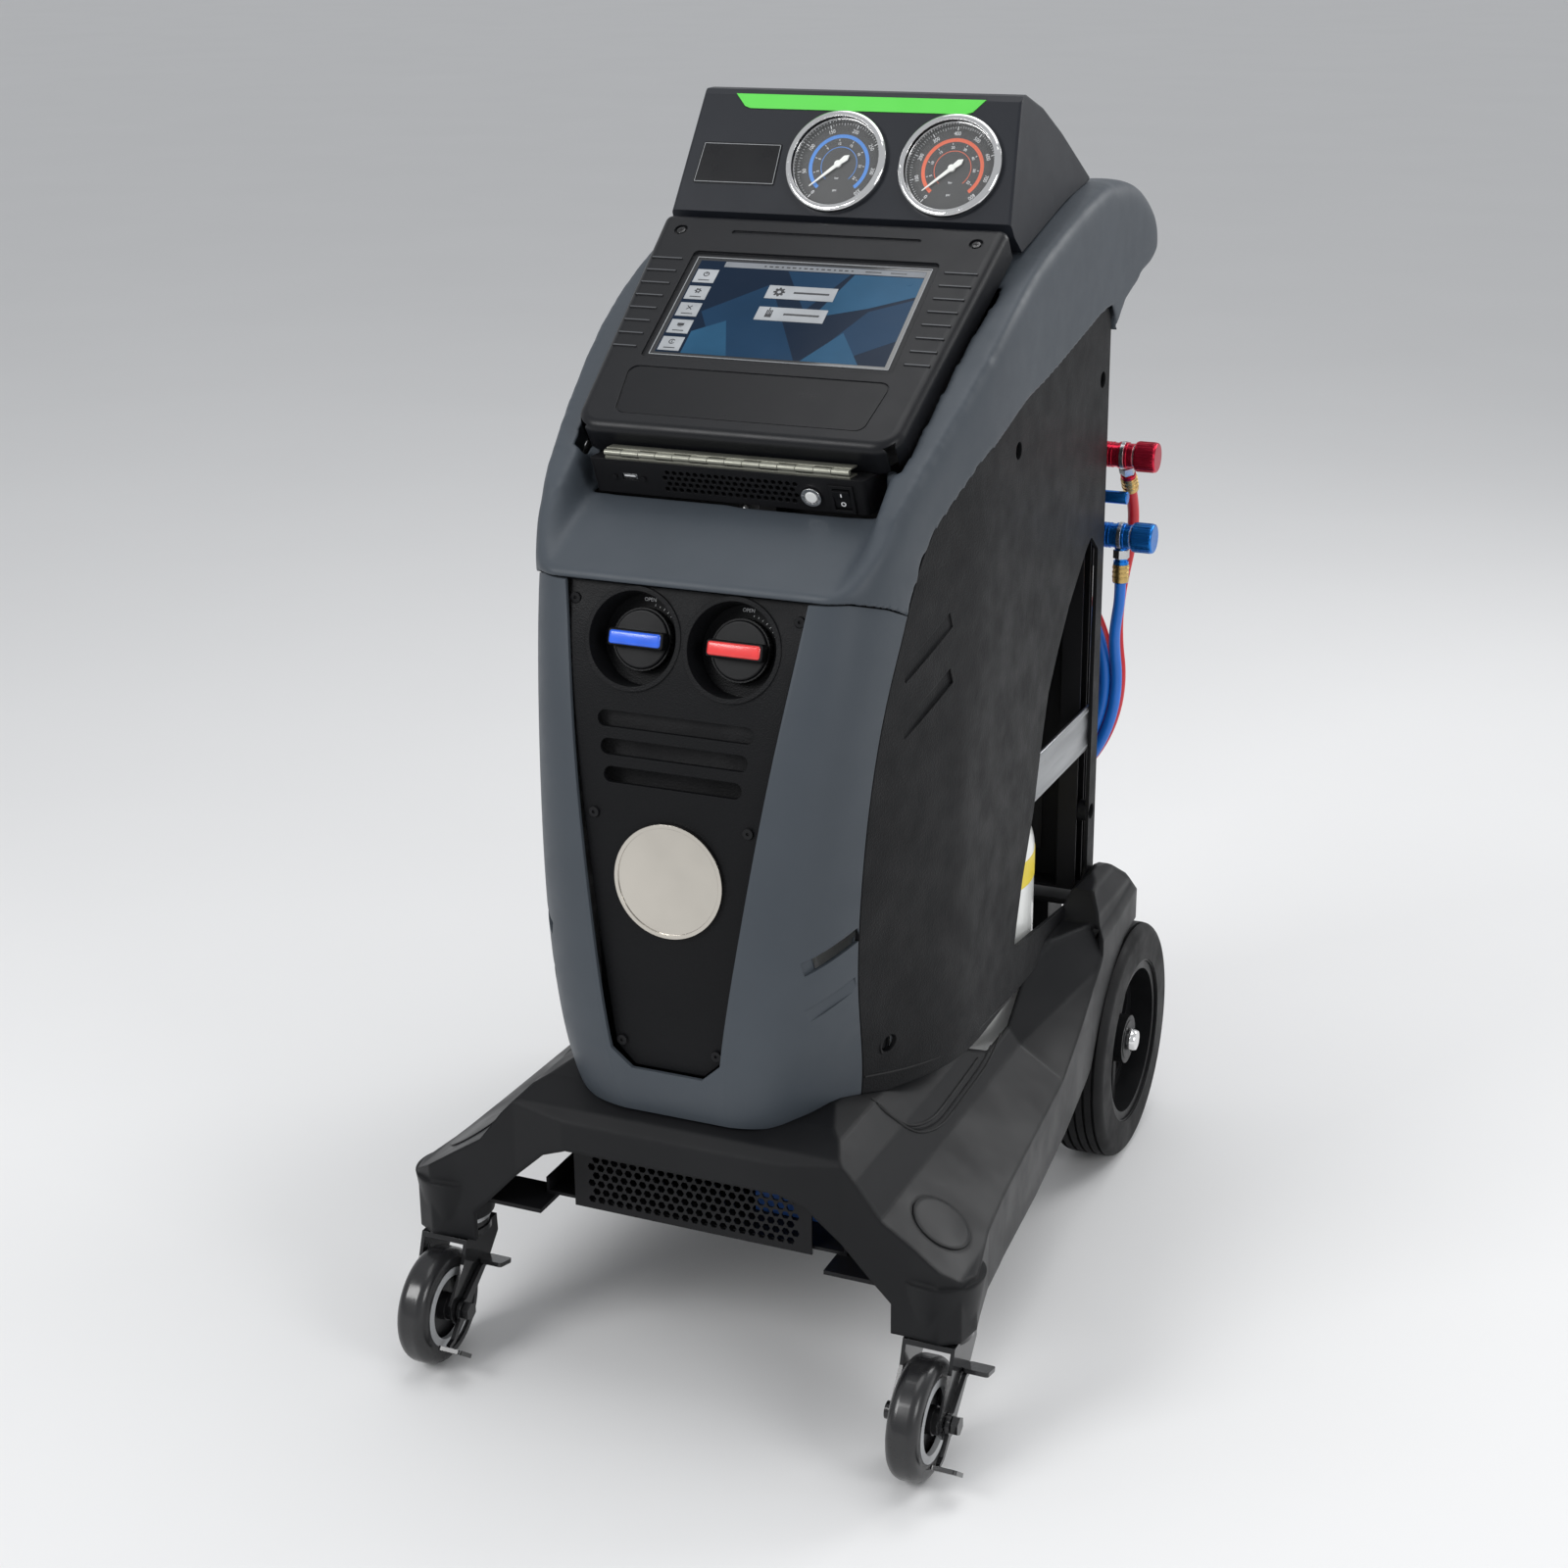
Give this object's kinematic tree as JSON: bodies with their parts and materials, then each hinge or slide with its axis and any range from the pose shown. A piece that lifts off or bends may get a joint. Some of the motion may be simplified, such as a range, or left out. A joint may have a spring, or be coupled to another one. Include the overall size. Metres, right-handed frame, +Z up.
{
  "type": "air conditioning recharge station",
  "caption": "Wheeled service cabinet with a tilted touch screen, twin gauges, valve knobs, side windows, push bar, front swivel casters and coiled charging hoses.",
  "frame": {"origin": "on the ground, in the middle of the footprint of the standing station", "axes": "+Z up, -Y to the front where the screen and the casters are, +X to the right seen from the front"},
  "size_m": [0.5683, 0.8574, 1.1225],
  "materials": {
    "grey_plastic": "fine textured moulding",
    "black_textured": "coarse textured moulding",
    "black_satin": "satin",
    "black_steel": "satin powder coat",
    "black_gloss_steel": "gloss",
    "bright_steel": "bright zinc plate",
    "polished_metal": "polished",
    "chrome": "polished",
    "aluminium": "brushed",
    "brass": "machined",
    "white_paint": "gloss",
    "blue_paint": "gloss",
    "board_green": "solder mask",
    "screen_glass": "glossy display",
    "white_plastic": "gloss",
    "green_plastic": "satin",
    "dial_black": "printed dial",
    "clear_glass": "clear",
    "tyre_rubber": "rubber",
    "red_hose": "smooth rubber",
    "blue_hose": "smooth rubber",
    "red_anodised": "anodised",
    "blue_anodised": "anodised"
  },
  "bodies": {
    "chassis": {"hood": "grey_plastic", "front_frame": "grey_plastic", "side_panel_left": "black_textured", "side_panel_right": "black_textured", "front_panel": "black_textured", "badge_disc": "polished_metal", "panel_screws": "black_steel", "valve_manifold": "brass", "scale_platform": "aluminium", "refrigerant_tank": "white_paint", "compressor": "black_steel", "vacuum_pump": "blue_paint", "filter_drier": "white_paint", "fan_frame": "black_satin", "circuit_board": "board_green", "control_box": "black_steel", "switch_bezels": "black_satin", "hinge_leaf_lower": "bright_steel", "gauge_housing": "black_satin", "accent_strip": "green_plastic", "gauge_cases": "chrome", "gauge_dials": "dial_black", "gauge_lenses": "clear_glass", "base_cover": "black_satin", "leg_caps": "black_satin", "base_grille": "black_steel", "chassis_tray": "black_steel", "rear_frame": "black_steel", "back_panel": "black_steel", "rear_axle": "bright_steel", "axle_caps": "chrome", "caster_mounts": "bright_steel", "mains_inlet": "black_satin", "hose_hook": "black_steel", "parking_bracket": "black_steel", "hose_coil_red": "red_hose", "hose_coil_blue": "blue_hose", "hose_red": "red_hose", "hose_blue": "blue_hose", "coupler_red": "red_anodised", "coupler_blue": "blue_anodised"},
    "console": {"console_bezel": "black_satin", "touch_screen": "screen_glass", "hinge_leaf_upper": "bright_steel"},
    "power_button": {"power_button": "white_plastic"},
    "rocker": {"rocker_switch": "black_satin"},
    "needle_low": {"gauge_needle_low": "white_plastic"},
    "needle_high": {"gauge_needle_high": "white_plastic"},
    "knob_low": {"knob_low": "black_satin"},
    "knob_high": {"knob_high": "black_satin"},
    "rear_wheel_left": {"rear_tyre_left": "tyre_rubber", "rear_rim_left": "black_satin"},
    "rear_wheel_right": {"rear_tyre_right": "tyre_rubber", "rear_rim_right": "black_satin"},
    "caster_fork_left": {"caster_fork_left": "black_gloss_steel"},
    "caster_fork_right": {"caster_fork_right": "black_gloss_steel"},
    "caster_wheel_left": {"caster_wheel_left": "tyre_rubber"},
    "caster_wheel_right": {"caster_wheel_right": "tyre_rubber"},
    "brake_lever_left": {"brake_lever_left": "black_gloss_steel"},
    "brake_lever_right": {"brake_lever_right": "black_gloss_steel"}
  },
  "joints": [
    {"name": "console_hinge", "type": "hinge", "parent": "chassis", "child": "console", "pos_m": [0, -0.2233, 0.843], "axis": [1, 0, 0], "range_deg": [0, 60]},
    {"name": "power_button_press", "type": "slide", "parent": "chassis", "child": "power_button", "axis": [0, 0.908, 0.4191], "range_m": [0, 0.002], "stiffness_N_per_m": 400},
    {"name": "rocker_tilt", "type": "hinge", "parent": "chassis", "child": "rocker", "pos_m": [0.106, -0.21607, 0.82083], "axis": [1, 0, 0], "range_deg": [0, 16]},
    {"name": "needle_low_turn", "type": "hinge", "parent": "chassis", "child": "needle_low", "pos_m": [-0.0095, 0.0506, 1.06215], "axis": [0, 0.8813, -0.4726], "range_deg": [0, 260], "stiffness_Nm_per_rad": 0.00002},
    {"name": "needle_high_turn", "type": "hinge", "parent": "chassis", "child": "needle_high", "pos_m": [0.1005, 0.0506, 1.06215], "axis": [0, 0.8813, -0.4726], "range_deg": [0, 260], "stiffness_Nm_per_rad": 0.00002},
    {"name": "knob_low_turn", "type": "hinge", "parent": "chassis", "child": "knob_low", "pos_m": [-0.0457, -0.3147, 0.7079], "axis": [0, -0.9563, 0.2924], "range_deg": [0, 90]},
    {"name": "knob_high_turn", "type": "hinge", "parent": "chassis", "child": "knob_high", "pos_m": [0.0457, -0.3147, 0.7079], "axis": [0, -0.9563, 0.2924], "range_deg": [0, 90]},
    {"name": "rear_wheel_left_roll", "type": "hinge", "parent": "chassis", "child": "rear_wheel_left", "pos_m": [-0.212, 0.2767, 0.127], "axis": [1, 0, 0], "continuous": true},
    {"name": "caster_left_swivel", "type": "hinge", "parent": "chassis", "child": "caster_fork_left", "pos_m": [-0.2407, -0.3257, 0.12], "axis": [0, 0, 1], "continuous": true},
    {"name": "caster_left_roll", "type": "hinge", "parent": "caster_fork_left", "child": "caster_wheel_left", "pos_m": [-0.2407, -0.3737, 0.055], "axis": [1, 0, 0], "continuous": true},
    {"name": "brake_left_lever", "type": "hinge", "parent": "caster_fork_left", "child": "brake_lever_left", "pos_m": [-0.2407, -0.3737, 0.055], "axis": [1, 0, 0], "range_deg": [0, 16]},
    {"name": "rear_wheel_right_roll", "type": "hinge", "parent": "chassis", "child": "rear_wheel_right", "pos_m": [0.212, 0.2767, 0.127], "axis": [1, 0, 0], "continuous": true},
    {"name": "caster_right_swivel", "type": "hinge", "parent": "chassis", "child": "caster_fork_right", "pos_m": [0.2407, -0.3257, 0.12], "axis": [0, 0, 1], "continuous": true},
    {"name": "caster_right_roll", "type": "hinge", "parent": "caster_fork_right", "child": "caster_wheel_right", "pos_m": [0.2407, -0.3737, 0.055], "axis": [1, 0, 0], "continuous": true},
    {"name": "brake_right_lever", "type": "hinge", "parent": "caster_fork_right", "child": "brake_lever_right", "pos_m": [0.2407, -0.3737, 0.055], "axis": [1, 0, 0], "range_deg": [0, 16]}
  ]
}
